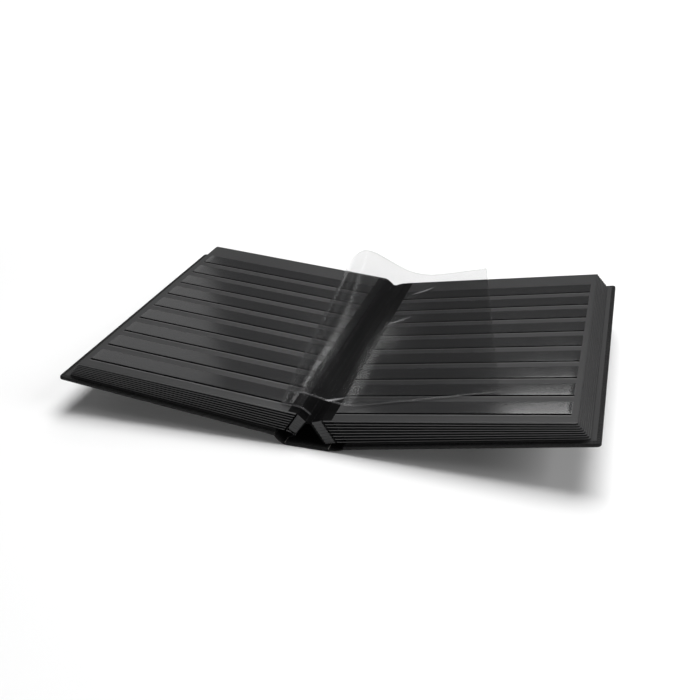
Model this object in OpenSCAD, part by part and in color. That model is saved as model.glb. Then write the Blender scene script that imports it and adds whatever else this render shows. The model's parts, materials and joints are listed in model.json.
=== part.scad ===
// Stock book for stamps, coins in flat mounts and cards: a leatherette case with a flat spine,
// sixteen card leaves on linen joints, nine clear strips on each page, and one loose clear interleaf.
// Millimetres. X runs across the open spread, Y along the spine, Z up. Origin: middle of the spine's underside.

/* [Leaves] */
// Height of a leaf along the spine
leaf_h = 295; // [240:1:320]
// Width of a leaf's card from its linen joint to the fore-edge
leaf_w = 205.6; // [150:0.1:230]
// Thickness of a leaf's card
card_t = 0.8; // [0.4:0.1:1.0]
// Radius of a leaf's outer corners
card_r = 2; // [0.5:0.5:6]
// Width of the linen lapped on each face of a card
linen_lap = 7.6; // [4:0.2:12]
// Thickness of the linen
linen_t = 0.1; // [0.05:0.01:0.2]

/* [Strips] */
// Number of clear strips on a page
strip_count = 9; // [4:1:12]
// Height of a strip's film
strip_h = 21; // [12:0.5:26]
// Distance from one strip to the next
strip_pitch = 29.5; // [22:0.1:34]
// Distance from the leaf's foot to the lowest strip
strip_foot = 11.2; // [6:0.1:20]
// Distance from the linen joint to the strip's inner end
strip_in = 8.3; // [8:0.1:14]
// Distance from the strip's outer end to the fore-edge
strip_out = 5.4; // [3:0.1:12]
// Thickness of a strip with its pocket
strip_t = 0.16; // [0.1:0.01:0.2]
// Depth of the pocket between film and card
pocket_t = 0.06; // [0.03:0.01:0.08]

/* [Block] */
// Number of leaves on each side of the gutter
side_leaves = 8; // [4:1:8]
// Thickness of the stub that each leaf's joint is bound on
guard_t = 1.2; // [0.6:0.1:1.4]
// Gap kept free round each joint line
joint_gap = 0.9; // [0.7:0.1:1.4]

/* [Case] */
// Height of the case along the spine
case_h = 304.4; // [250:0.2:330]
// Width of the spine
spine_w = 40; // [30:0.5:50]
// Width of each cover from the groove to the fore-edge
cover_w = 206; // [150:0.2:230]
// Thickness of the grey board in the covers
cover_board_t = 2.4; // [1.5:0.1:3.0]
// Thickness of the spine's board
spine_board_t = 2.4; // [1.5:0.1:3.0]
// Thickness of the leatherette
skin_t = 0.4; // [0.2:0.05:0.6]
// Width of the leatherette turned in over the boards
turn_in = 15; // [8:1:25]
// Radius of the covers' outer corners
cover_r = 3.5; // [1:0.5:8]
// Slope of the front cover as the book lies open
front_slope = 6.9; // [0:0.1:12]
// Slope of the back cover as the book lies open
back_slope = 11.0; // [0:0.1:14]

/* [Interleaf] */
// Height of the clear interleaf
film_h = 283; // [230:1:300]
// Thickness of the interleaf as modelled
film_t = 0.3; // [0.2:0.05:0.5]
// Angle by which the folded-over half lies askew
film_skew = 11; // [0:0.5:12]

/* [Hidden] */
function pad(n) = n < 10 ? str("0", n) : str(n);
leaf_numbers = [for (n = [1 : 2 * side_leaves]) n];
cover_t = cover_board_t + 2 * skin_t;
case_half = case_h / 2;
black = [0.09, 0.09, 0.095];
grey_card = [0.24, 0.24, 0.245];
board_grey = [0.45, 0.43, 0.40];
linen_black = [0.06, 0.06, 0.065];
clear = [0.75, 0.78, 0.80, 0.4];

// Each block fans out from a slanted row of joints; u is 0 at the lowest leaf's underside and 1 at the top.
function mix(a, b, u) = a + (b - a) * u;
function u_of(k) = (k + 0.5) / side_leaves;
front_joints = [[-20.8, 10.9], [-8.2, 30.4]];
back_joints = [[25.7, 6.1], [12.4, 27.2]];
front_bound = [[-12.6, 9.2], [-1.5, 23.9]];
back_bound = [[16.6, 3.8], [3.9, 24.3]];
front_angles = [6.95, 5.1];
back_angles = [11.05, 8.9];
function on_row(row, k) = mix(row[0], row[1], u_of(k));
front_edge = [-27.8, 7.7];
back_edge = [32.2, 3.8];

// Puts a piece drawn outwards along +X at a point of the section, sloping up by an angle, on one side.
module placed(side, p, slope) {
  translate([p[0], 0, p[1]])
    mirror([side < 0 ? 1 : 0, 0, 0])
      rotate([0, -slope, 0])
        children();
}

// Leaves 1 to 8 lie on the front cover, lowest first; 9 to 16 on the back cover, topmost first.
module leaf_place(n) {
  k = n <= side_leaves ? n - 1 : 2 * side_leaves - n;
  if (n <= side_leaves)
    placed(-1, on_row(front_joints, k), mix(front_angles[0], front_angles[1], u_of(k))) children();
  else
    placed(1, on_row(back_joints, k), mix(back_angles[0], back_angles[1], u_of(k))) children();
}

module outer_rounded(x0, x1, h, r) {
  translate([x0, -h / 2]) square([x1 - x0 - r, h]);
  translate([x1 - r - 0.01, -h / 2 + r]) square([r + 0.01, h - 2 * r]);
  for (s = [-1, 1])
    translate([x1 - r, s * (h / 2 - r)]) circle(r = r, $fn = 32);
}

module slab(x0, x1, h, r, z0, t) {
  translate([0, 0, z0]) linear_extrude(height = t) outer_rounded(x0, x1, h, r);
}

module strip() {
  w = leaf_w - strip_out - strip_in;
  difference() {
    cube([w, strip_h, strip_t]);
    translate([1, 0.8, -0.01]) cube([w - 2, strip_h, pocket_t + 0.01]);
  }
}

module page_strips() {
  for (i = [0 : strip_count - 1])
    translate([strip_in, -leaf_h / 2 + strip_foot + i * strip_pitch, card_t / 2]) strip();
}

// Card sheet of one leaf
module leaf_card(n) {
  color(grey_card)
    leaf_place(n) slab(0.7, leaf_w, leaf_h, card_r, -card_t / 2, card_t);
}

// Linen joint lapped round the inner edge of one card
module leaf_linen(n) {
  color(linen_black)
    leaf_place(n)
      difference() {
        translate([0.5, -leaf_h / 2, -card_t / 2 - linen_t])
          cube([linen_lap, leaf_h, card_t + 2 * linen_t]);
        translate([0.7, -leaf_h, -card_t / 2])
          cube([linen_lap + 1, 2 * leaf_h, card_t]);
      }
}

// Clear strips of both pages of one leaf, open along their upper edges
module leaf_strips(n) {
  color(clear)
    leaf_place(n) {
      page_strips();
      mirror([0, 0, 1]) page_strips();
    }
}

// Stub that one leaf's joint is glued to, from the joint line to the bound edge
module stub(joint, bound) {
  d = bound - joint;
  len = norm(d);
  translate([joint[0], 0, joint[1]])
    rotate([0, -atan2(d[1], d[0]), 0])
      translate([joint_gap, -leaf_h / 2, -guard_t / 2])
        cube([len - joint_gap, leaf_h, guard_t]);
}

// Stubs of all the leaves, bound side by side on the hollow back
module binding_stubs() {
  color(linen_black)
    for (k = [0 : side_leaves - 1]) {
      stub(on_row(front_joints, k), on_row(front_bound, k));
      stub(on_row(back_joints, k), on_row(back_bound, k));
    }
}

// A band of even thickness along a line of points
function turned(v) = [-v[1], v[0]] / norm(v);
function along(p, i) = turned(p[min(i + 1, len(p) - 1)] - p[max(i - 1, 0)]);
function band(p, t) = concat(
  [for (i = [0 : len(p) - 1]) p[i] + along(p, i) * t / 2],
  [for (i = [len(p) - 1 : -1 : 0]) p[i] - along(p, i) * t / 2]);
module band_prism(p, t, h) {
  rotate([90, 0, 0])
    linear_extrude(height = h, center = true)
      polygon(band(p, t));
}

// Lining glued to the bound edges, arched over the hollow back
module spine_lining() {
  color(linen_black)
    band_prism([[-19.5, 4.6], [-12.6, 7.6], [-1.6, 21.9], [3.2, 21.9], [14.6, 3.7], [19.5, 3.5]], 0.5, leaf_h);
}

// Grey board of the flat spine
module spine_board() {
  color(board_grey)
    translate([-spine_w / 2 + 0.6, -case_half + skin_t, skin_t])
      cube([spine_w - 1.2, case_h - 2 * skin_t, spine_board_t - 0.4]);
}

// Leatherette under the spine board, turned in at head and tail
module spine_leatherette() {
  color(black)
    difference() {
      translate([-spine_w / 2, -case_half, 0])
        cube([spine_w, case_h, spine_board_t - 0.4 + 1.5 * skin_t]);
      translate([-spine_w / 2 + 0.6, -case_half + skin_t, skin_t])
        cube([spine_w - 1.2, case_h - 2 * skin_t, spine_board_t - 0.4]);
      translate([-spine_w / 2 + 0.6, -case_half + turn_in, skin_t])
        cube([spine_w - 1.2, case_h - 2 * turn_in, 2 * spine_board_t]);
    }
}

function curve(a, b, c, n) = [for (i = [0 : n]) let (u = i / n)
  a * (1 - u) * (1 - u) + b * 2 * u * (1 - u) + c * u * u];

// Leatherette of the hinge groove between the spine and the front cover
module front_joint_leatherette() {
  color(black)
    band_prism(curve([-20.3, 0.5], [-25.2, 1.2], [-27.2, 7.9], 10), 0.8, case_h);
}

// Leatherette of the hinge groove between the spine and the back cover
module back_joint_leatherette() {
  color(black)
    band_prism(curve([20.3, 0.5], [27.0, 0.3], [31.5, 4.3], 10), 0.8, case_h);
}

// Grey board inside one cover
module cover_board() {
  slab(skin_t, cover_w - skin_t, case_h - 2 * skin_t, cover_r - skin_t, skin_t, cover_board_t);
}

// Leatherette round one cover, turned in over the edges
module cover_skin() {
  difference() {
    slab(0, cover_w, case_h, cover_r, 0, cover_t);
    cover_board();
    translate([-1, -case_half + turn_in, cover_t - skin_t - 0.01])
      cube([cover_w - turn_in + 1, case_h - 2 * turn_in, 1]);
  }
}

module front_board() {
  color(board_grey) placed(-1, front_edge, front_slope) cover_board();
}

module front_leatherette() {
  color(black) placed(-1, front_edge, front_slope) cover_skin();
}

module back_board() {
  color(board_grey) placed(1, back_edge, back_slope) cover_board();
}

module back_leatherette() {
  color(black) placed(1, back_edge, back_slope) cover_skin();
}

// Lower half of the interleaf, over the front page, and its fold
module interleaf_fold() {
  color(clear)
    rotate([0.8, 0, 0])
      band_prism([[0.6, 27.2], [-9, 33.4], [-36, 35.8], [-41, 38.5], [-42, 44], [-37, 50],
                  [-27, 52], [-13, 48.5], [0.6, 42.6]], film_t, film_h);
}

// Upper half of the interleaf, folded back over the back page and lying askew
module interleaf_flap() {
  color(clear)
    intersection() {
      translate([68, 20, 36.9])
        rotate([0, -8.9, 0])
          rotate([0, 0, film_skew])
            band_prism([[-66, 16], [-48, 6], [-36, 1.4], [-26, 0], [62, 0]], film_t, film_h);
      translate([1, -250, 0]) cube([400, 500, 200]);
    }
}

spine_leatherette();
spine_board();
spine_lining();
front_leatherette();
front_board();
back_leatherette();
back_board();
front_joint_leatherette();
back_joint_leatherette();
binding_stubs();
for (n = leaf_numbers) {
  leaf_card(n);
  leaf_linen(n);
  leaf_strips(n);
}
interleaf_fold();
interleaf_flap();
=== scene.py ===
import bpy, bmesh, json, math
from mathutils import Matrix, Vector


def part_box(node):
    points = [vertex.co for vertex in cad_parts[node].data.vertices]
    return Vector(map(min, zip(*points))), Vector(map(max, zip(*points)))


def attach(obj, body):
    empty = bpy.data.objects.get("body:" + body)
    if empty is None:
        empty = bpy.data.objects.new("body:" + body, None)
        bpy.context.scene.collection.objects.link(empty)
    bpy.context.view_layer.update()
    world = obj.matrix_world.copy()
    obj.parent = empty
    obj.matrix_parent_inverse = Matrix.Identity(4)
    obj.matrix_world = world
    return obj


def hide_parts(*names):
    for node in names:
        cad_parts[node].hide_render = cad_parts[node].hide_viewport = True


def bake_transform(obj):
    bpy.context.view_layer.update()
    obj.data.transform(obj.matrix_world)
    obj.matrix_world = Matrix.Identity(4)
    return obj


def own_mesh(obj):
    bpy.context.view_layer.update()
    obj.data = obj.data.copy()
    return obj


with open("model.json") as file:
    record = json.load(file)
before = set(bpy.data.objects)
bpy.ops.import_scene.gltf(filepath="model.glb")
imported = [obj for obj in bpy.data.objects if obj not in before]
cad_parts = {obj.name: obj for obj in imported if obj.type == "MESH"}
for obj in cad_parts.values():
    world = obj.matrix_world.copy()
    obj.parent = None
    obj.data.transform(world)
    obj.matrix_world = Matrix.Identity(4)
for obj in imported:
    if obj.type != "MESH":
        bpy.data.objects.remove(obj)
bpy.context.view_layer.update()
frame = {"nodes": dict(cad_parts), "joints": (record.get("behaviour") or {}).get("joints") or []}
MM = 0.001

# ---------------------------------------------------------------- covers
# Two stiff covers: grey board wrapped in black pebbled leatherette, its edges rolled over
# the board and glued down inside, with a paper pastedown over the turn-ins.

class Value:
    """A number or colour socket of a finish, so that shader sums read as ordinary arithmetic."""

    def __init__(self, finish, socket):
        self.finish, self.socket = finish, socket

    def _do(self, operation, a, b):
        return self.finish.add("ShaderNodeMath", {"operation": operation}, {0: a, 1: b})

    def __add__(self, other): return self._do("ADD", self, other)
    def __radd__(self, other): return self._do("ADD", other, self)
    def __sub__(self, other): return self._do("SUBTRACT", self, other)
    def __rsub__(self, other): return self._do("SUBTRACT", other, self)
    def __mul__(self, other): return self._do("MULTIPLY", self, other)
    def __rmul__(self, other): return self._do("MULTIPLY", other, self)
    def __truediv__(self, other): return self._do("DIVIDE", self, other)


class Finish:
    """A procedural finish: every node comes from add()."""

    def __init__(self, name, **shader):
        self.material = bpy.data.materials.new(name)
        self.material.use_nodes = True
        self.tree = self.material.node_tree
        self.shader = self.tree.nodes["Principled BSDF"]
        for socket, amount in shader.items():
            self.shader.inputs[socket.replace("_", " ")].default_value = amount

    def add(self, kind, settings=None, sockets=None, out=0):
        node = self.tree.nodes.new(kind)
        for key, setting in (settings or {}).items():
            setattr(node, key, setting)
        for key, given in (sockets or {}).items():
            if isinstance(given, Value):
                self.tree.links.new(given.socket, node.inputs[key])
            else:
                node.inputs[key].default_value = given
        return Value(self, node.outputs[out])

    def object_place(self, scale=(1, 1, 1)):
        place = self.add("ShaderNodeTexCoord", out=3)
        return self.add("ShaderNodeMapping", {}, {0: place, 3: scale})

    def noise(self, place, scale, detail=3.0, roughness=0.5):
        return self.add("ShaderNodeTexNoise", {}, {"Vector": place, "Scale": scale, "Detail": detail,
                                                   "Roughness": roughness})

    def blend_colour(self, amount, a, b):
        return self.add("ShaderNodeMix", {"data_type": "RGBA"}, {0: amount, 6: a, 7: b}, out=2)

    def bump(self, height, strength, distance):
        return self.add("ShaderNodeBump", {}, {"Height": height, "Strength": strength, "Distance": distance})

    def feed(self, socket, given):
        self.tree.links.new(given.socket, self.shader.inputs[socket])


def paint(obj, *finishes):
    obj.data.materials.clear()
    for finish in finishes:
        obj.data.materials.append(finish.material)


def piece_from(name, points, faces, finish_of=None, smooth=True):
    mesh = bpy.data.meshes.new(name)
    mesh.from_pydata([Vector(p) for p in points], [], faces)
    mesh.update()
    if finish_of:
        mesh.polygons.foreach_set("material_index", finish_of)
    bm = bmesh.new()
    bm.from_mesh(mesh)
    bmesh.ops.recalc_face_normals(bm, faces=bm.faces)
    bm.to_mesh(mesh)
    bm.free()
    mesh.polygons.foreach_set("use_smooth", [smooth] * len(mesh.polygons))
    obj = bpy.data.objects.new(name, mesh)
    bpy.context.scene.collection.objects.link(obj)
    return obj


def sharpen(obj, degrees=35):
    obj.data.set_sharp_from_angle(angle=math.radians(degrees))
    return obj


def rings_to_piece(name, rings, closed=True):
    """Skins a stack of equal closed rings; the first and last are capped."""
    n = len(rings[0])
    points = [p for ring in rings for p in ring]
    faces = []
    for r in range(len(rings) - 1):
        for i in range(n):
            j = (i + 1) % n
            faces.append((r * n + i, r * n + j, (r + 1) * n + j, (r + 1) * n + i))
    if closed:
        faces.append(tuple(range(n)))
        faces.append(tuple(range((len(rings) - 1) * n, len(rings) * n)))
    return piece_from(name, points, faces)


joints = {j["name"]: j for j in frame["joints"]}


leatherette = Finish("pebbled_leatherette", Specular_IOR_Level=0.16)
place = leatherette.object_place()
cells = leatherette.add("ShaderNodeTexVoronoi", {"feature": "SMOOTH_F1"},
                        {"Vector": place, "Scale": 820.0, "Smoothness": 0.5, "Randomness": 0.95})
creases = leatherette.noise(place, 260.0, 4.0, 0.6)
wear = leatherette.noise(place, 26.0, 3.0)
grain = (1 - cells * 1.1) + creases * 0.5
leatherette.feed("Normal", leatherette.bump(grain, 0.8, 0.0004))
leatherette.feed("Roughness", 0.34 + cells * 0.18 + wear * 0.12)
leatherette.feed("Base Color", leatherette.blend_colour(cells * 0.9, (0.0060, 0.0060, 0.0062, 1),
                                                        (0.0022, 0.0022, 0.0023, 1)))

pastedown_paper = Finish("black_pastedown_paper", Roughness=0.8)
place = pastedown_paper.object_place()
fibre = pastedown_paper.noise(place, 1400.0, 4.0, 0.65)
pastedown_paper.feed("Base Color", pastedown_paper.blend_colour(fibre, (0.012, 0.012, 0.0125, 1),
                                                                (0.020, 0.020, 0.0205, 1)))
pastedown_paper.feed("Normal", pastedown_paper.bump(fibre, 0.25, 0.0001))

grey_board = Finish("grey_binders_board", Roughness=0.9)
place = grey_board.object_place()
fleck = grey_board.noise(place, 700.0, 5.0, 0.7)
grey_board.feed("Base Color", grey_board.blend_colour(fleck, (0.30, 0.29, 0.27, 1), (0.42, 0.41, 0.38, 1)))
grey_board.feed("Normal", grey_board.bump(fleck, 0.3, 0.0002))


def slab_pose(node, side, thickness):
    """Where a slab leans: its inner lower corner, the way outwards, and the way off its face."""
    low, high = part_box(node)
    wide, tall = high.x - low.x, high.z - low.z
    length = math.sqrt(wide * wide + tall * tall - thickness * thickness)
    lean = math.atan2(tall, wide) - math.atan2(thickness, length)
    out = Vector((side * math.cos(lean), 0, math.sin(lean)))
    off = Vector((-side * math.sin(lean), 0, math.cos(lean)))
    if side < 0:
        inner = Vector((high.x, 0, low.z)) - Vector((off.x * thickness, 0, 0))
    else:
        inner = Vector((low.x, 0, low.z)) - Vector((off.x * thickness, 0, 0))
    return inner, out, off, length, lean


def rounded_outline(a0, a1, half, radius, inner_radius, inset):
    """Points round a cover's outline, drawn in by an inset; the corners keep their centres."""
    points = []
    for cx, cy, start, full in ((a1 - radius, half - radius, 0, radius),
                                (a0 + inner_radius, half - inner_radius, 90, inner_radius),
                                (a0 + inner_radius, -half + inner_radius, 180, inner_radius),
                                (a1 - radius, -half + radius, 270, radius)):
        reach = full - inset
        for k in range(9):
            turn = math.radians(start + k * 11.25)
            if reach > 0.0003:
                points.append((cx + reach * math.cos(turn), cy + reach * math.sin(turn)))
            else:
                tiny = 0.0003
                sx = 1 if start in (0, 270) else -1
                sy = 1 if start in (0, 90) else -1
                shift = inset - full + tiny
                points.append((cx - sx * shift + tiny * math.cos(turn), cy - sy * shift + tiny * math.sin(turn)))
    return points


def wrapped_cover(name, node, side, thickness, corner, roll):
    inner, out, off, length, lean = slab_pose(node, side, thickness)
    half = (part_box(node)[1].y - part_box(node)[0].y) / 2
    profile = [(0.012, 0.0), (0.004, 0.0)]
    for k in range(7):
        a = math.radians(k * 15)
        profile.append((roll * (1 - math.sin(a)), roll * (1 - math.cos(a))))
    for k in range(7):
        a = math.radians(k * 15)
        profile.append((roll * (1 - math.cos(a)), thickness - roll * (1 - math.sin(a))))
    profile += [(0.004, thickness), (0.0148, thickness), (0.0152, thickness - 0.0003)]
    rings = []
    for inset, height in profile:
        ring = []
        for s, y in rounded_outline(0.0, length, half, corner, 0.0012, inset):
            ring.append(inner + out * s + off * height + Vector((0, y, 0)))
        rings.append(ring)
    cover = sharpen(rings_to_piece(name, rings), 50)
    return cover, (inner, out, off, length, half)


cover_thick, cover_corner, edge_roll = 3.2 * MM, 3.5 * MM, 0.9 * MM
cover_pose = {}
for side, body in ((-1, "front_cover"), (1, "back_cover")):
    word = body.split("_")[0]
    node = word + "_leatherette"
    cover, pose = wrapped_cover(word + "_cover_skin", node, side, cover_thick, cover_corner, edge_roll)
    cover_pose[body] = pose
    paint(cover, leatherette)
    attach(cover, body)
    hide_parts(node)
    paint(frame["nodes"][word + "_board"], grey_board)

    inner, out, off, length, half = pose
    sheet_rings = []
    for inset, height in ((0.0, 3.12), (0.0, 3.26), (0.15, 3.34), (4.0, 3.34)):
        ring = []
        for s, y in rounded_outline(1.5 * MM, length - 3.6 * MM, half - 4.2 * MM, 1.5 * MM, 0.6 * MM, inset * MM):
            ring.append(inner + out * s + off * height * MM + Vector((0, y, 0)))
        sheet_rings.append(ring)
    pastedown = sharpen(rings_to_piece(word + "_pastedown", sheet_rings))
    paint(pastedown, pastedown_paper)
    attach(pastedown, body)

# ---------------------------------------------------------------- spine and grooves
# The case is one sheet of leatherette: across the flat spine board, up through the soft hinge
# grooves and onto the covers.

def half_case_section(side):
    inner, out, off, length, half = cover_pose["front_cover" if side < 0 else "back_cover"]
    edge = inner + out * (1.6 * MM) + off * (0.9 * MM)
    reach = abs(edge.x) / MM
    rise = edge.z / MM
    outer = [(0, 0), (6, 0), (12, 0), (17, 0.0), (19.0, 0.05)]
    bulge = [(20.3, 0.35), (21.6, 1.0)]
    steps = 9
    start, pull, end = (21.6, 1.0), (reach - 3.2, rise * 0.36 + 0.2), (reach, rise)
    path = []
    for k in range(1, steps + 1):
        u = k / steps
        path.append(tuple((1 - u) ** 2 * start[i] + 2 * u * (1 - u) * pull[i] + u * u * end[i] for i in (0, 1)))
    outer = outer + bulge + path
    inner_side = [(0, 2.8), (6, 2.8), (12, 2.8), (17, 2.8), (18.6, 2.75), (19.6, 2.1), (20.6, 1.9)]
    for k in range(len(inner_side), len(outer)):
        before, here = outer[k - 1], outer[k]
        dx, dz = here[0] - before[0], here[1] - before[1]
        size = math.hypot(dx, dz)
        inner_side.append((here[0] - dz / size * 0.9, here[1] + dx / size * 0.9))
    return ([Vector((side * x * MM, 0, z * MM)) for x, z in outer],
            [Vector((side * x * MM, 0, z * MM)) for x, z in inner_side])


case_half_height = (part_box("spine_leatherette")[1].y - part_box("spine_leatherette")[0].y) / 2
for side, word in ((-1, "front"), (1, "back")):
    outer, lining_side = half_case_section(side)
    middle = [(a + b) / 2 for a, b in zip(outer, lining_side)]
    rings = []
    along = [(-1.0, 0.55), (-0.9985, 0.8), (-0.996, 1.0)] + [(-0.9 + 0.1 * k, 1.0) for k in range(19)] + \
            [(0.996, 1.0), (0.9985, 0.8), (1.0, 0.55)]
    for place_y, keep in along:
        y = Vector((0, place_y * case_half_height, 0))
        ring = [m + (o - m) * keep + y for o, m in zip(outer, middle)]
        ring += [m + (i - m) * keep + y for i, m in reversed(list(zip(lining_side, middle)))]
        rings.append(ring)
    groove = sharpen(rings_to_piece(word + "_half_of_spine_skin", rings), 50)
    paint(groove, leatherette)
    inner, out, off, length, half = cover_pose[word + "_cover"]
    word + "_cover"
    side * 20.4 * MM
    tuple(inner + out * (0.6 * MM))
    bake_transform(groove)
    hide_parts(word + "_joint_leatherette")
    if side < 0:
        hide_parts("spine_leatherette")
paint(frame["nodes"]["spine_board"], grey_board)

# ---------------------------------------------------------------- hollow back and stubs
# The leaves' stubs are glued side by side in two slanting ranks, lined with black mull that
# arches over the hollow between block and spine.

mull = Finish("black_mull", Roughness=0.9, Specular_IOR_Level=0.15)
place = mull.object_place()
weft = mull.add("ShaderNodeTexWave", {"bands_direction": "Y"}, {"Vector": place, "Scale": 240.0, "Distortion": 1.0,
                                                              "Detail": 2.0, "Detail Scale": 6.0})
slub = mull.noise(place, 350.0, 3.0)
mull.feed("Base Color", mull.blend_colour(slub, (0.0025, 0.0025, 0.0026, 1), (0.006, 0.006, 0.0062, 1)))
mull.feed("Normal", mull.bump(weft * 0.6 + slub * 0.4, 0.5, 0.0003))
paint(frame["nodes"]["spine_lining"], mull)

stub_card = Finish("black_stub_card", Roughness=0.82)
place = stub_card.object_place((0.25, 1, 1))
ply = stub_card.noise(place, 1100.0, 4.0, 0.7)
stub_card.feed("Base Color", stub_card.blend_colour(ply, (0.030, 0.030, 0.031, 1), (0.055, 0.055, 0.056, 1)))
stub_card.feed("Normal", stub_card.bump(ply, 0.35, 0.00015))

# ---------------------------------------------------------------- leaves
# Sixteen sheets of stiff black card. The colour goes right through, and the surface is matt
# with a short fibre; the guillotined edges are a little rougher. The head and foot edges are
# painted a lighter grey, partly for the cut fibre and partly as painted light on the edges.

leaf_half = (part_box("leaf_01_card")[1].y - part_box("leaf_01_card")[0].y) / 2
page_card = Finish("black_page_card", Specular_IOR_Level=0.25)
place = page_card.object_place()
fibre = page_card.noise(place, 1800.0, 4.0, 0.7)
cloud = page_card.noise(place, 45.0, 3.0, 0.55)
tone = fibre * 0.55 + cloud * 0.45
body_colour = page_card.blend_colour(tone, (0.018, 0.018, 0.0183, 1), (0.030, 0.030, 0.0306, 1))
# Painted light: the head and foot edges are a lighter grey, partly the cut fibre and partly light painted on the edges.
cut_line = leaf_half - 0.25 * MM
from_middle = page_card.add("ShaderNodeMath", {"operation": "ABSOLUTE"},
                            {0: page_card.add("ShaderNodeSeparateXYZ", {}, {0: place}, out=1)})
edge_fibre_and_painted_light = page_card.add("ShaderNodeMath", {"operation": "GREATER_THAN"}, {0: from_middle, 1: cut_line})
page_card.feed("Base Color", page_card.blend_colour(edge_fibre_and_painted_light, body_colour, (0.060, 0.060, 0.061, 1)))
page_card.feed("Roughness", 0.37 + fibre * 0.12)
page_card.feed("Normal", page_card.bump(fibre, 0.10, 0.00005))

leaf_pose = {}
card_half = 0.45 * MM
for number in range(1, 17):
    name = "leaf_%02d" % number
    side = -1 if number <= 8 else 1
    inner, out, off, length, lean = slab_pose(name + "_card", side, 0.8 * MM)
    pivot = Vector(joints[name + "_joint"]["pos_m"])
    leaf_pose[name] = (pivot, out, off, side)
    rings = []
    for inset, height in ((3.0, -0.6), (0.16, -0.6), (0.05, -0.555), (0, -0.44),
                          (0, 0.44), (0.05, 0.555), (0.16, 0.6), (3.0, 0.6)):
        rings.append([pivot + out * (s + 0.7 * MM) + off * (height / 0.6 * card_half) + Vector((0, y, 0))
                      for s, y in rounded_outline(0.0, length, leaf_half, 2 * MM, 0.35 * MM, inset * MM)])
    sheet = sharpen(rings_to_piece(name + "_sheet", rings), 50)
    paint(sheet, page_card)
    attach(sheet, name)
    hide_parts(name + "_card")

# ---------------------------------------------------------------- linen joints
# Each card hangs on a strip of black linen tape: lapped 7.5 mm over both faces of the card, bare
# across the joint so that it bends, and glued down on both faces of the stub.

linen = Finish("black_linen_tape", Roughness=0.85, Specular_IOR_Level=0.05)
place = linen.object_place()
warp = linen.add("ShaderNodeTexWave", {"bands_direction": "X", "wave_profile": "SIN"},
                 {"Vector": place, "Scale": 420.0, "Distortion": 0.6, "Detail": 1.0})
weft = linen.add("ShaderNodeTexWave", {"bands_direction": "Y", "wave_profile": "SIN"},
                 {"Vector": place, "Scale": 420.0, "Distortion": 0.6, "Detail": 1.0})
slub = linen.noise(place, 300.0, 3.0)
weave = warp * weft
linen.feed("Base Color", linen.blend_colour(weave * 0.7 + slub * 0.3, (0.0016, 0.0016, 0.0017, 1),
                                            (0.0060, 0.0060, 0.0062, 1)))
linen.feed("Normal", linen.bump(weave, 0.45, 0.00012))


def stub_ends():
    """Middle of each stub in the section, read from the bound block."""
    points = [tuple(round(c, 6) for c in v.co) for v in frame["nodes"]["binding_stubs"].data.vertices]
    parent = {p: p for p in points}

    def root(p):
        while parent[p] != p:
            parent[p] = parent[parent[p]]
            p = parent[p]
        return p

    for face in frame["nodes"]["binding_stubs"].data.polygons:
        corners = [points[v] for v in face.vertices]
        for c in corners[1:]:
            parent[root(c)] = root(corners[0])
    groups = {}
    for p in parent:
        groups.setdefault(root(p), []).append(Vector(p))
    return [sum(g, Vector()) / len(g) for g in groups.values()]


stubs = stub_ends()
stub_pose = {}
for name, (pivot, out, off, side) in leaf_pose.items():
    stub = min(stubs, key=lambda c: (c - pivot).length)
    middle = Vector((stub.x, 0, stub.z))
    back = (middle - pivot).normalized()
    up = Vector((-back.z, 0, back.x))
    stub_pose[name] = (back, up if up.z > 0 else -up, 2 * (middle - pivot).length - 0.9 * MM)

for name, (pivot, out, off, side) in leaf_pose.items():
    back, up, reach = stub_pose[name]
    steps = [pivot + back * 2.6 * MM + up * 0.70 * MM, pivot + back * 1.5 * MM + up * 0.72 * MM,
             pivot + back * 0.8 * MM + up * 0.66 * MM, pivot + up * 0.34 * MM + off * 0.34 * MM,
             pivot + out * 0.6 * MM + off * 0.52 * MM, pivot + out * 1.4 * MM + off * 0.55 * MM,
             pivot + out * 4.0 * MM + off * 0.55 * MM, pivot + out * 7.9 * MM + off * 0.55 * MM,
             pivot + out * 8.1 * MM + off * 0.49 * MM]
    beneath = [pivot + back * 2.6 * MM + up * 0.62 * MM, pivot + back * 1.5 * MM + up * 0.62 * MM,
               pivot + back * 0.8 * MM + up * 0.50 * MM, pivot + up * 0.18 * MM + off * 0.16 * MM,
               pivot + out * 0.6 * MM + off * 0.44 * MM, pivot + out * 1.4 * MM + off * 0.445 * MM,
               pivot + out * 4.0 * MM + off * 0.445 * MM, pivot + out * 7.9 * MM + off * 0.445 * MM,
               pivot + out * 8.1 * MM + off * 0.445 * MM]
    lower = [pivot + out * 8.1 * MM - off * 0.445 * MM, pivot + out * 8.0 * MM - off * 0.54 * MM,
             pivot + out * 0.7 * MM - off * 0.54 * MM, pivot + out * 0.35 * MM - off * 0.3 * MM,
             pivot + out * 0.35 * MM + off * 0.3 * MM, pivot + out * 0.69 * MM + off * 0.3 * MM,
             pivot + out * 0.69 * MM - off * 0.445 * MM]
    both_laps = bmesh.new()
    for outline in (steps + list(reversed(beneath)), lower):
        rings = [[p + Vector((0, y * leaf_half, 0)) for p in outline] for y in (-0.992, -0.5, 0, 0.5, 0.992)]
        lap = rings_to_piece("lap", rings)
        both_laps.from_mesh(lap.data)
        bpy.data.objects.remove(lap)
    tape = bpy.data.objects.new(name + "_tape", bpy.data.meshes.new(name + "_tape"))
    both_laps.to_mesh(tape.data)
    both_laps.free()
    bpy.context.scene.collection.objects.link(tape)
    sharpen(tape, 40)
    paint(tape, linen)
    tuple(pivot + back * 0.9 * MM)
    tuple(pivot + out * 0.6 * MM)
    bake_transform(tape)
    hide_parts(name + "_linen")

# ---------------------------------------------------------------- bound stubs
# Under the tape each leaf ends in a card stub. The stubs of a side are glued one on the next,
# and each is a little wedge, thicker at the joint, so that the open block can spread.

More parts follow.
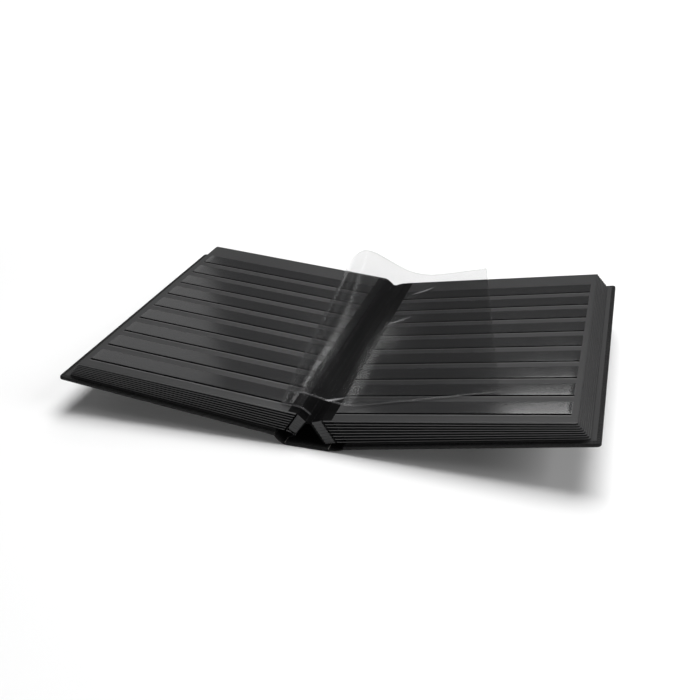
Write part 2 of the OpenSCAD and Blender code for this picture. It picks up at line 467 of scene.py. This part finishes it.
for word, numbers in (("front", range(1, 9)), ("back", range(16, 8, -1))):
    stack = bmesh.new()
    below = None
    for number in numbers:
        name = "leaf_%02d" % number
        pivot, out, off, side = leaf_pose[name]
        back, up, reach = stub_pose[name]
        near, far = pivot + back * 0.95 * MM, pivot + back * (reach + 0.4 * MM)
        drop_near = drop_far = 0.65 * MM
        if below:
            drop_near = (near - below[0]).dot(up) - 0.83 * MM
            drop_far = (far - below[1]).dot(up) - 0.79 * MM
        below = (near, far)
        outline = [near + up * 0.5 * MM, near + up * 0.61 * MM + back * 0.12 * MM, far + up * 0.61 * MM,
                   far - up * drop_far, near - up * drop_near + back * 0.12 * MM,
                   near - up * (drop_near - 0.12 * MM)]
        rings = [[p + Vector((0, y, 0)) for p in outline] for y in
                 (-leaf_half + 0.15 * MM, -leaf_half + 0.35 * MM, leaf_half - 0.35 * MM, leaf_half - 0.15 * MM)]
        stub = rings_to_piece("stub", rings)
        stack.from_mesh(stub.data)
        bpy.data.objects.remove(stub)
    block = bpy.data.objects.new(word + "_stub_block", bpy.data.meshes.new(word + "_stub_block"))
    stack.to_mesh(block.data)
    stack.free()
    bpy.context.scene.collection.objects.link(block)
    sharpen(block, 35)
    paint(block, stub_card)
    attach(block, "spine")
    if word == "front":
        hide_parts("binding_stubs")

front_back, front_up, front_reach = stub_pose["leaf_08"]
rear_back, rear_up, rear_reach = stub_pose["leaf_09"]
front_pivot, rear_pivot = leaf_pose["leaf_08"][0], leaf_pose["leaf_09"][0]
ridge = [front_pivot + front_back * 1.0 * MM + front_up * 0.80 * MM,
         front_pivot + front_back * 5 * MM + front_up * 0.86 * MM,
         front_pivot + front_back * (front_reach - 0.6 * MM) + front_up * 0.84 * MM,
         front_pivot + front_back * (front_reach + 0.6 * MM) + front_up * 0.55 * MM]
ridge += [p for p in (rear_pivot + rear_back * (rear_reach + 0.6 * MM) + rear_up * 0.55 * MM,
                      rear_pivot + rear_back * (rear_reach - 0.6 * MM) + rear_up * 0.84 * MM,
                      rear_pivot + rear_back * 5 * MM + rear_up * 0.86 * MM,
                      rear_pivot + rear_back * 1.0 * MM + rear_up * 0.80 * MM)]
valley = (ridge[3] + ridge[4]) / 2 - Vector((0, 0, 0.5 * MM))
ridge = ridge[:4] + [valley] + ridge[4:]
outline = ridge + [p - Vector((0, 0, 0.13 * MM)) for p in reversed(ridge)]
gutter_cloth = rings_to_piece("gutter_cloth", [[p + Vector((0, y * leaf_half, 0)) for p in outline]
                                               for y in (-0.9975, -0.6, -0.2, 0.2, 0.6, 0.9975)])
paint(gutter_cloth, linen)
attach(gutter_cloth, "spine")

# ---------------------------------------------------------------- strips
# Nine strips of clear film to a page, welded to the card along the foot and both ends and open
# along the top, so that stamps slip in behind. Over black card the film is drawn mostly opaque.

strip_film = Finish("clear_strip_film", IOR=1.5, Alpha=0.8)
strip_film.shader.inputs["Base Color"].default_value = (0.029, 0.029, 0.0297, 1)
place = strip_film.object_place()
ripple = strip_film.noise(place, 9.0, 2.0, 0.5)
strip_film.feed("Normal", strip_film.bump(ripple, 0.4, 0.0012))
smear = strip_film.noise(place, 38.0, 4.0, 0.6)
strip_film.feed("Roughness", 0.10 + smear * 0.08)

# Painted highlight: a flat bar of lighter grey below each weld line stands in for the glint along the film's foot.
weld_bead_highlight = Finish("painted_highlight_weld_bead", Roughness=0.38)
grit = weld_bead_highlight.noise(weld_bead_highlight.object_place(), 500.0, 3.0)
weld_bead_highlight.feed("Base Color", weld_bead_highlight.blend_colour(grit, (0.055, 0.055, 0.056, 1), (0.095, 0.095, 0.096, 1)))

# Painted shade: a near-black band with no gloss along the foot of each strip stands in for the shadow in the weld line.
weld_line_shade = Finish("painted_shade_weld_line", Roughness=0.7, Specular_IOR_Level=0.0)
place = weld_line_shade.object_place()
grit = weld_line_shade.noise(place, 900.0, 2.0)
weld_line_shade.feed("Base Color", weld_line_shade.blend_colour(grit, (0.0008, 0.0008, 0.0008, 1), (0.002, 0.002, 0.002, 1)))


def strip_pattern(length, height):
    """One strip of film lying on its card: across it, weld, pocket and free edge; along it, sealed ends."""
    across = [(0.0, 0.05), (0.3, 0.055), (2.5, 0.055), (2.9, 0.07), (4.0, 0.083), (6.5, 0.096), (9, 0.103), (12, 0.107),
              (15, 0.104), (18, 0.097), (height - 0.8, 0.088), (height, 0.08)]
    rings = []
    for s, lift in ((0.0, 0.35), (0.7, 0.35), (1.2, 0.95), (6, 1.0), (length / 2, 1.0), (length - 6, 1.0),
                    (length - 1.2, 0.95), (length - 0.7, 0.35), (length, 0.35)):
        top = [Vector((s * MM, y * MM, max(h * lift, 0.03) * MM)) for y, h in across]
        low = [Vector((s * MM, y * MM, max(h * lift - 0.045, 0.004) * MM)) for y, h in reversed(across)]
        rings.append(top + low)
    return sharpen(rings_to_piece("strip_pattern", rings), 60)


def welded_line(name, length, foot, width, height):
    """A narrow flat bar along the foot of a strip."""
    rings = []
    for s in (0.0, 0.4, length / 2, length - 0.4, length):
        half = width / 2 * (0.7 if s in (0.0, length) else 1.0)
        middle = foot + width / 2
        rings.append([Vector((s * MM, y * MM, h * MM)) for y, h in
                      ((middle - half, height - 0.035), (middle - half * 0.8, height), (middle + half * 0.8, height),
                       (middle + half, height - 0.035), (middle, height - 0.04))])
    return rings_to_piece(name, rings)


pocket_low, pocket_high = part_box("leaf_09_strips")
page_lean = math.atan2(leaf_pose["leaf_09"][1].z, leaf_pose["leaf_09"][1].x)
strip_length = (pocket_high.x - pocket_low.x) / math.cos(page_lean) / MM - 0.2
strip_height = 21.0
strips_on_page = 9
strip_step = ((pocket_high.y - pocket_low.y) / MM - strip_height) / (strips_on_page - 1)
strip_start = 8.3
film_pattern = strip_pattern(strip_length, strip_height)
groove_pattern = welded_line("groove_pattern", strip_length, 0.1, 2.5, 0.088)
bead_pattern = welded_line("bead_pattern", strip_length, -1.15, 1.2, 0.09)


class Tree:
    """A geometry tree with named inputs."""

    def __init__(self, name):
        self.group = bpy.data.node_groups.new(name, "GeometryNodeTree")
        self.group.interface.new_socket("Geometry", in_out="OUTPUT", socket_type="NodeSocketGeometry")
        self.inputs = {}

    def input(self, name, kind):
        item = self.group.interface.new_socket(name, in_out="INPUT", socket_type=kind)
        self.inputs[name] = item.identifier
        return name

    def start(self):
        self.given = self.group.nodes.new("NodeGroupInput")
        return {name: self.given.outputs[name] for name in self.inputs}

    def add(self, kind, settings=None, sockets=None, out=0):
        node = self.group.nodes.new(kind)
        for key, setting in (settings or {}).items():
            setattr(node, key, setting)
        for key, given in (sockets or {}).items():
            if isinstance(given, bpy.types.NodeSocket):
                self.group.links.new(given, node.inputs[key])
            elif isinstance(given, (list, tuple)) and given and isinstance(given[0], bpy.types.NodeSocket):
                for one in given:
                    self.group.links.new(one, node.inputs[key])
            else:
                node.inputs[key].default_value = given
        return node.outputs[out]

    def finish(self, geometry):
        end = self.group.nodes.new("NodeGroupOutput")
        self.group.links.new(geometry, end.inputs[0])


page_tree = Tree("pockets_on_both_pages")
for name, kind in (("Strips", "NodeSocketInt"), ("Step", "NodeSocketFloat"), ("Foot", "NodeSocketFloat"),
                   ("Inner end", "NodeSocketFloat"), ("Card face", "NodeSocketFloat"),
                   ("Film", "NodeSocketObject"), ("Groove", "NodeSocketObject"), ("Bead", "NodeSocketObject"),
                   ("Film finish", "NodeSocketMaterial"), ("Groove finish", "NodeSocketMaterial"),
                   ("Bead finish", "NodeSocketMaterial")):
    page_tree.input(name, kind)
g = page_tree.start()
corner = page_tree.add("ShaderNodeCombineXYZ", {}, {0: g["Inner end"], 1: g["Foot"], 2: g["Card face"]})
step = page_tree.add("ShaderNodeCombineXYZ", {}, {1: g["Step"]})
rows = page_tree.add("GeometryNodeMeshLine", {"mode": "OFFSET"},
                     {"Count": g["Strips"], "Start Location": corner, "Offset": step})
layers = []
for pattern, finish in (("Film", "Film finish"), ("Groove", "Groove finish"), ("Bead", "Bead finish")):
    shape = page_tree.add("GeometryNodeObjectInfo", {"transform_space": "ORIGINAL"}, {"Object": g[pattern]}, out=4)
    placed = page_tree.add("GeometryNodeInstanceOnPoints", {}, {"Points": rows, "Instance": shape})
    real = page_tree.add("GeometryNodeRealizeInstances", {}, {"Geometry": placed})
    layers.append(page_tree.add("GeometryNodeSetMaterial", {}, {"Geometry": real, "Material": g[finish]}))
page = page_tree.add("GeometryNodeJoinGeometry", {}, {"Geometry": list(reversed(layers))})
turned = page_tree.add("GeometryNodeTransform", {}, {"Geometry": page, "Scale": (1, 1, -1)})
turned = page_tree.add("GeometryNodeFlipFaces", {}, {"Mesh": turned})
both = page_tree.add("GeometryNodeJoinGeometry", {}, {"Geometry": [turned, page]})
both = page_tree.add("GeometryNodeRealizeInstances", {}, {"Geometry": both})
page_tree.finish(both)

carrier = bpy.data.objects.new("pockets", bpy.data.meshes.new("pockets"))
bpy.context.scene.collection.objects.link(carrier)
rows_of_pockets = carrier.modifiers.new("pockets", "NODES")
rows_of_pockets.node_group = page_tree.group
for name, amount in (("Strips", strips_on_page), ("Step", strip_step * MM),
                     ("Foot", pocket_low.y), ("Inner end", strip_start * MM), ("Card face", card_half),
                     ("Film", film_pattern), ("Groove", groove_pattern), ("Bead", bead_pattern),
                     ("Film finish", strip_film.material), ("Groove finish", weld_line_shade.material),
                     ("Bead finish", weld_bead_highlight.material)):
    rows_of_pockets[page_tree.inputs[name]] = amount
bpy.context.view_layer.update()
evaluated = carrier.evaluated_get(bpy.context.evaluated_depsgraph_get())
pockets_mesh = bpy.data.meshes.new_from_object(evaluated)
carrier.modifiers.remove(rows_of_pockets)

for name, (pivot, out, off, side) in leaf_pose.items():
    mesh = pockets_mesh.copy()
    basis = Matrix(((out.x, 0, off.x, pivot.x), (0, 1, 0, 0), (out.z, 0, off.z, pivot.z), (0, 0, 0, 1)))
    mesh.transform(basis)
    if side < 0:
        mesh.flip_normals()
    pockets = bpy.data.objects.new(name + "_pockets", mesh)
    bpy.context.scene.collection.objects.link(pockets)
    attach(pockets, name)
    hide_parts(name + "_strips")
for spare in (carrier, film_pattern, groove_pattern, bead_pattern):
    bpy.data.objects.remove(spare)

# ---------------------------------------------------------------- interleaf
# One loose sheet of clear film, bound in at the gutter. It lies over the front page, folds back
# on itself in a springy loop that is tall at the head and low at the foot, and lies askew on the back page.

film_sheet = Finish("clear_interleaf_film", IOR=1.5)

gutter_x = 1.3
film_height = 283.0
film_thick = 0.12
foot_loop = [(0, 33.2), (-0.4, 35.2), (1.8, 38.6), (6.0, 41.6), (11.5, 43.0), (18, 42.6), (26, 40.2), (38, 36.2),
             (50, 32.8), (58, 31.4), (70, 31.2), (84, 33.4), (104, 36.8), (125, 40.3), (141, 42.9), (160, 45.9),
             (181, 49.2)]
head_loop = [(0, 35.6), (-0.6, 38.0), (3.5, 45.5), (9.2, 53.5), (15.5, 58.6), (23, 60.4), (33, 57.6), (46, 50.2),
             (58, 43.2), (68, 38.0), (78, 34.6), (90, 32.8), (101, 32.9), (115, 34.6), (130, 37.0), (143, 39.2),
             (155, 41.2)]
skew = math.radians(11.3)
askew = Vector((math.cos(skew), math.sin(skew), 0))
foot_fold = Vector((-25.6, -138.0, 0))
head_fold = Vector((-54.5, 144.5, 0))


def page_height(x):
    """Height of the open pages and the gutter at a place across the spread, in millimetres."""
    if x < -9.5:
        return 30.2 + (-9.5 - x) * math.tan(math.radians(5.2))
    if x < 1.0:
        return 24.6 + (1.0 - x) * 5.6 / 10.5
    if x < 12.5:
        return 24.6 + (x - 1.0) * 2.4 / 11.5
    return 27.0 + (x - 12.5) * math.tan(math.radians(9.0))


def smooth_path(points, count):
    """Even steps along a Catmull-Rom curve through the points."""
    dense = []
    for i in range(len(points) - 1):
        a, b, c, d = points[max(i - 1, 0)], points[i], points[i + 1], points[min(i + 2, len(points) - 1)]
        for k in range(12):
            u = k / 12
            dense.append([0.5 * (2 * b[m] + (c[m] - a[m]) * u + (2 * a[m] - 5 * b[m] + 4 * c[m] - d[m]) * u * u +
                                 (3 * b[m] - a[m] - 3 * c[m] + d[m]) * u ** 3) for m in range(len(b))])
    dense.append(list(points[-1]))
    run = [0.0]
    for p, q in zip(dense, dense[1:]):
        run.append(run[-1] + math.dist(p, q))
    even, k = [], 0
    for i in range(count):
        want = run[-1] * i / (count - 1)
        while k < len(run) - 2 and run[k + 1] < want:
            k += 1
        u = (want - run[k]) / max(run[k + 1] - run[k], 1e-9)
        even.append([p + (q - p) * u for p, q in zip(dense[k], dense[k + 1])])
    for _ in range(10):
        even = [even[0]] + [[(a + 2 * b + c) / 4 for a, b, c in zip(*three)]
                            for three in zip(even, even[1:], even[2:])] + [even[-1]]
    return even


loop_steps, lap_steps, rows_up = 190, 40, 84
foot_even = smooth_path(foot_loop, loop_steps)
head_even = smooth_path(head_loop, loop_steps)
grid = []
for r in range(rows_up + 1):
    v = r / rows_up
    tall = v ** 1.15
    fold = foot_fold.lerp(head_fold, v)
    lap_y = -140.5 + film_height * v
    line = []
    for k in range(lap_steps):
        u = k / lap_steps
        x = gutter_x - 0.8 + (fold.x - gutter_x + 0.8) * u
        y = lap_y + (fold.y - lap_y) * u ** 2
        base = page_height(x)
        lift = 0.6 + 0.9 * math.sin(math.pi * u) * (0.8 + 0.2 * math.sin(2.3 * v + 1.0))
        if x > -10:
            lift += 1.2 * math.sin(math.pi * min(1, (gutter_x - x) / 11.5))
        end_z = foot_even[0][1] + (head_even[0][1] - foot_even[0][1]) * tall
        z = base + lift
        close = max(0.0, (u - 0.8) / 0.2)
        z = z + (end_z - z) * close * close
        line.append(Vector((x, y, z)))
    for k in range(loop_steps):
        s = foot_even[k][0] + (head_even[k][0] - foot_even[k][0]) * v
        z = foot_even[k][1] + (head_even[k][1] - foot_even[k][1]) * tall
        p = fold + askew * s
        x, y = p.x, p.y
        far = k / (loop_steps - 1)
        ripple = 0.45 * math.sin(0.022 * y + 0.03 * x) + 0.10 * math.sin(0.06 * y - 0.04 * x + 1.3)
        z += ripple * math.sin(math.pi * min(1, far * 1.6)) * 0.6
        rest = page_height(x) + 0.7
        z = rest + (z - rest + math.hypot(z - rest, 0.7)) / 2
        line.append(Vector((x, y, z)))
    grid.append(line)
columns = len(grid[0])
film_points = [p * MM for line in grid for p in line]
film_faces = [(r * columns + c, r * columns + c + 1, (r + 1) * columns + c + 1, (r + 1) * columns + c)
              for r in range(rows_up) for c in range(columns - 1)]
whole = piece_from("interleaf_whole", film_points, film_faces)
# Painted highlights, stored per point: a streak beside the fold, brightest low on the sheet and gone towards the head;
# a line on the fold itself; lines along the free edge and the head and foot edges.
highlight_layer = whole.data.attributes.new("painted_highlight_lines", "FLOAT", "POINT")
fold_column = lap_steps
for index in range(len(film_points)):
    column, row = index % columns, index // columns
    painted_streak_strength = max(0.0, math.sin(math.pi * (row / rows_up - 0.01) / 0.62)) if row / rows_up < 0.63 else 0.0
    painted_streak = max(0.0, 1 - abs(column - fold_column - 3) / (1.2 + 4.0 * painted_streak_strength)) * (0.16 + 0.84 * painted_streak_strength)
    line = 0.30 if abs(column - fold_column) < 2 else 0.0
    edge = 0.40 if column == columns - 1 or row in (0, rows_up) else 0.0
    highlight_layer.data[index].value = max(edge, line, painted_streak)

place = film_sheet.object_place()
painted_highlight = film_sheet.add("ShaderNodeAttribute", {"attribute_name": "painted_highlight_lines"}, {}, out=2)
haze = film_sheet.noise(place, 24.0, 4.0, 0.6)
# Painted highlights on three creases: narrow tapering lines, set by object position, where the film is lighter and more
# opaque.
creases = 0.0
for start, end, wide in ((Vector((26, -114)), Vector((2, -142)), 1.6), (Vector((52, 132)), Vector((30, 98)), 1.2),
                         (Vector((44, 50)), Vector((22, 14)), 0.9)):
    run = end - start
    local = film_sheet.add("ShaderNodeMapping", {"vector_type": "TEXTURE"},
                           {0: place, 1: (start.x * MM, start.y * MM, 0), 2: (0, 0, math.atan2(run.y, run.x))})
    along = film_sheet.add("ShaderNodeSeparateXYZ", {}, {0: local}, out=0)
    beside = film_sheet.add("ShaderNodeSeparateXYZ", {}, {0: local}, out=1)
    middle = (along - run.length / 2 * MM) / (run.length / 2 * MM)
    taper = 1 - middle * middle
    across_crease = beside / (wide * MM)
    crease_highlight = film_sheet.add("ShaderNodeMath", {"operation": "MAXIMUM"},
                          {0: taper - across_crease * across_crease, 1: 0.0})
    creases = crease_highlight + creases
# Where highlights and crease highlights are painted, the film is more opaque and a light grey.
film_sheet.feed("Alpha", 0.112 + haze * 0.03 + painted_highlight * 0.30 + creases * 0.12)
film_sheet.feed("Base Color", film_sheet.blend_colour(creases + painted_highlight * 0.7, (0.012, 0.012, 0.0125, 1),
                                                      (0.55, 0.55, 0.56, 1)))
film_sheet.feed("Roughness", 0.17 + haze * 0.06)
buckle = film_sheet.noise(place, 14.0, 2.0, 0.5)
film_sheet.feed("Normal", film_sheet.bump(buckle, 0.04, 0.0012))


def half_sheet(name, keep_right):
    half = whole.copy()
    half.data = whole.data.copy()
    half.name = half.data.name = name
    bpy.context.scene.collection.objects.link(half)
    bm = bmesh.new()
    bm.from_mesh(half.data)
    bmesh.ops.bisect_plane(bm, geom=bm.verts[:] + bm.edges[:] + bm.faces[:], plane_co=(gutter_x * MM, 0, 0),
                           plane_no=(1, 0, 0), clear_outer=not keep_right, clear_inner=keep_right)
    bm.to_mesh(half.data)
    bm.free()
    thick = half.modifiers.new("thickness", "SOLIDIFY")
    thick.thickness, thick.offset = film_thick * MM, 0
    bpy.context.view_layer.update()
    solid = bpy.data.meshes.new_from_object(half.evaluated_get(bpy.context.evaluated_depsgraph_get()))
    half.modifiers.remove(thick)
    half.data = solid
    paint(half, film_sheet)
    return half


fold_half = half_sheet("interleaf_folded_half", False)
flap_half = half_sheet("interleaf_upper_half", True)
bpy.data.objects.remove(whole)
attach(fold_half, "spine")
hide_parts("interleaf_fold")
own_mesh(fold_half)
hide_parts("interleaf_flap")
pivot, out, off, side = leaf_pose["leaf_09"]
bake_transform(flap_half)


# ---------------------------------------------------------------- table, light and camera
# A pale seamless sweep under soft boxes: a big one overhead a little behind the book, one at the
# right, one low in front, and three behind it whose reflections lie on the pages. The world is
# white to the camera only and barely lights the book.

bpy.context.scene.view_settings.view_transform = "Standard"
table_top = Finish("pale_sweep", Roughness=0.95, Specular_IOR_Level=0.1)
place = table_top.object_place()
far_out = table_top.add("ShaderNodeVectorMath", {"operation": "LENGTH"}, {0: place}, out=1)
rise = table_top.add("ShaderNodeMapRange", {"interpolation_type": "SMOOTHSTEP"},
                     {0: far_out, 1: 0.5, 2: 1.7, 3: 0.0, 4: 1.0})
table_top.feed("Emission Color", table_top.blend_colour(rise, (0, 0, 0, 1), (1.0, 1.0, 1.0, 1)))
table_top.shader.inputs["Emission Strength"].default_value = 1.0
table_top.feed("Base Color", table_top.blend_colour(table_top.noise(place, 3.0), (0.86, 0.86, 0.86, 1),
                                                    (0.88, 0.88, 0.88, 1)))
table = piece_from("table", [(-25, -25, 0), (25, -25, 0), (25, 25, 0), (-25, 25, 0)], [(0, 1, 2, 3)], smooth=False)
paint(table, table_top)

world = bpy.data.worlds.new("studio")
world.use_nodes = True
backdrop = world.node_tree.nodes["Background"]
backdrop.inputs[0].default_value = (1, 1, 1, 1)
seen_directly = world.node_tree.nodes.new("ShaderNodeLightPath")
dim = world.node_tree.nodes.new("ShaderNodeMapRange")
as_fill_light, as_backdrop = 0.035, 1.0
dim.inputs[3].default_value, dim.inputs[4].default_value = as_fill_light, as_backdrop
world.node_tree.links.new(seen_directly.outputs["Is Camera Ray"], dim.inputs[0])
world.node_tree.links.new(dim.outputs[0], backdrop.inputs[1])
bpy.context.scene.world = world


def soft_box(name, place, aim, size, radiance):
    light = bpy.data.lights.new(name, "AREA")
    light.shape, light.size, light.size_y = "RECTANGLE", size[0], size[1]
    light.energy = radiance * math.pi * size[0] * size[1]
    box = bpy.data.objects.new(name, light)
    box.location = place
    box.rotation_euler = (Vector(aim) - Vector(place)).to_track_quat("-Z", "Y").to_euler()
    box.visible_camera = False
    bpy.context.scene.collection.objects.link(box)
    return box


def placed_by_angle(aim, round_to, raised, away):
    """A point that lies a way off from the aim, at an angle round from the head of the book."""
    a, e = math.radians(round_to), math.radians(raised)
    return Vector(aim) + away * Vector((math.sin(a) * math.cos(e), math.cos(a) * math.cos(e), math.sin(e)))


soft_box("overhead", (0.2, 0.55, 2.3), (0, 0, 0), (1.6, 1.6), 7.7)
soft_box("side_box", placed_by_angle((0.1, 0, 0), 97, 36, 2.2), (0.1, 0, 0), (1.2, 1.0), 4.2)
soft_box("front_box", placed_by_angle((0.05, 0, 0), 172, 22, 2.4), (0.05, 0, 0.02), (1.6, 0.7), 2.8)
soft_box("left_box", placed_by_angle((-0.13, 0, 0.03), -39, 28, 2.4), (-0.13, 0, 0.03), (1.2, 0.95), 0.72)
soft_box("right_box", placed_by_angle((0.13, -0.08, 0.03), -12, 37, 2.6), (0.13, -0.08, 0.03), (0.34, 0.70), 4.0)
soft_box("glow_box", placed_by_angle((0.06, -0.08, 0.03), -10, 46, 2.6), (0.06, -0.08, 0.03), (0.9, 0.5), 3.0)

lens = bpy.data.cameras.new("view")
lens.sensor_width, lens.lens = 36, 45.12
lens.clip_end = 50
view = bpy.data.objects.new("view", lens)
bpy.context.scene.collection.objects.link(view)
turn, raised, tilt = math.radians(17.41), math.radians(27.84), math.radians(-1.18)
toward = Vector((math.sin(turn) * math.cos(raised), -math.cos(turn) * math.cos(raised), math.sin(raised)))
aim = Vector((-0.06706, 0.19005, -0.09035))
across = Vector((0, 0, 1)).cross(toward).normalized()
upward = toward.cross(across)
across, upward = (across * math.cos(tilt) + upward * math.sin(tilt), upward * math.cos(tilt) - across * math.sin(tilt))
stand = aim + toward * 1.08621
view.matrix_world = Matrix(((across.x, upward.x, toward.x, stand.x), (across.y, upward.y, toward.y, stand.y),
                            (across.z, upward.z, toward.z, stand.z), (0, 0, 0, 1)))
bpy.context.scene.camera = view
